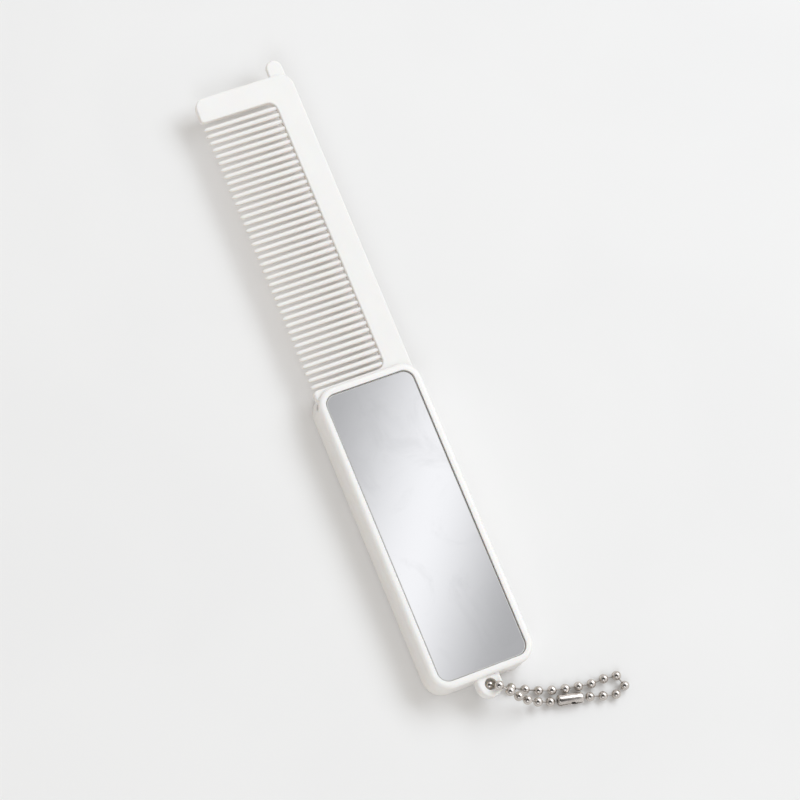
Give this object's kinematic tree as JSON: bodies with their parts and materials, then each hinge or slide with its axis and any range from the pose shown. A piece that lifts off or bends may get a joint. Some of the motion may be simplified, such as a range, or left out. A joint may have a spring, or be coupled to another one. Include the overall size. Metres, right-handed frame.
{
  "type": "pocket mirror comb",
  "caption": "Pocket comb whose fine-toothed blade slides out of a slim white case with a mirror on its face, on a loop of ball chain through a lug.",
  "frame": {"origin": "centre of the case's flat back face", "axes": "+X across the case towards the comb's spine, +Y along the case towards the comb's tip, +Z out of the mirror"},
  "size_m": [0.0488, 0.1803, 0.0099],
  "materials": {
    "white_plastic": "moulded, soft gloss",
    "mirror_glass": "silvered glass with a ground edge",
    "foam_tape": "thin double-sided tape",
    "nickel_steel": "nickel plated, polished"
  },
  "bodies": {
    "case": {"rear_shell": "white_plastic", "front_frame": "white_plastic", "mirror_tape": "foam_tape", "mirror_glass": "mirror_glass", "chain_bead_01": "nickel_steel", "chain_bead_02": "nickel_steel", "chain_bead_03": "nickel_steel", "chain_bead_04": "nickel_steel", "chain_bead_05": "nickel_steel", "chain_bead_06": "nickel_steel", "chain_bead_07": "nickel_steel", "chain_bead_08": "nickel_steel", "chain_bead_09": "nickel_steel", "chain_bead_10": "nickel_steel", "chain_bead_11": "nickel_steel", "chain_bead_12": "nickel_steel", "chain_bead_13": "nickel_steel", "chain_bead_14": "nickel_steel", "chain_bead_15": "nickel_steel", "chain_bead_16": "nickel_steel", "chain_bead_17": "nickel_steel", "chain_bead_18": "nickel_steel", "chain_bead_19": "nickel_steel", "chain_bead_20": "nickel_steel", "chain_bead_21": "nickel_steel", "chain_bead_22": "nickel_steel", "chain_bead_23": "nickel_steel", "chain_bead_24": "nickel_steel", "chain_link_01": "nickel_steel", "chain_link_02": "nickel_steel", "chain_link_03": "nickel_steel", "chain_link_04": "nickel_steel", "chain_link_05": "nickel_steel", "chain_link_06": "nickel_steel", "chain_link_07": "nickel_steel", "chain_link_09": "nickel_steel", "chain_link_10": "nickel_steel", "chain_link_11": "nickel_steel", "chain_link_12": "nickel_steel", "chain_link_13": "nickel_steel", "chain_link_14": "nickel_steel", "chain_link_15": "nickel_steel", "chain_link_16": "nickel_steel", "chain_link_17": "nickel_steel", "chain_link_18": "nickel_steel", "chain_link_19": "nickel_steel", "chain_link_20": "nickel_steel", "chain_link_21": "nickel_steel", "chain_link_22": "nickel_steel", "chain_link_23": "nickel_steel", "chain_link_24": "nickel_steel", "chain_sleeve": "nickel_steel"},
    "comb": {"comb_blade": "white_plastic"}
  },
  "joints": [
    {"name": "comb_slide", "type": "slide", "parent": "case", "child": "comb", "axis": [0, -1, 0], "range_m": [0, 0.0739]}
  ]
}
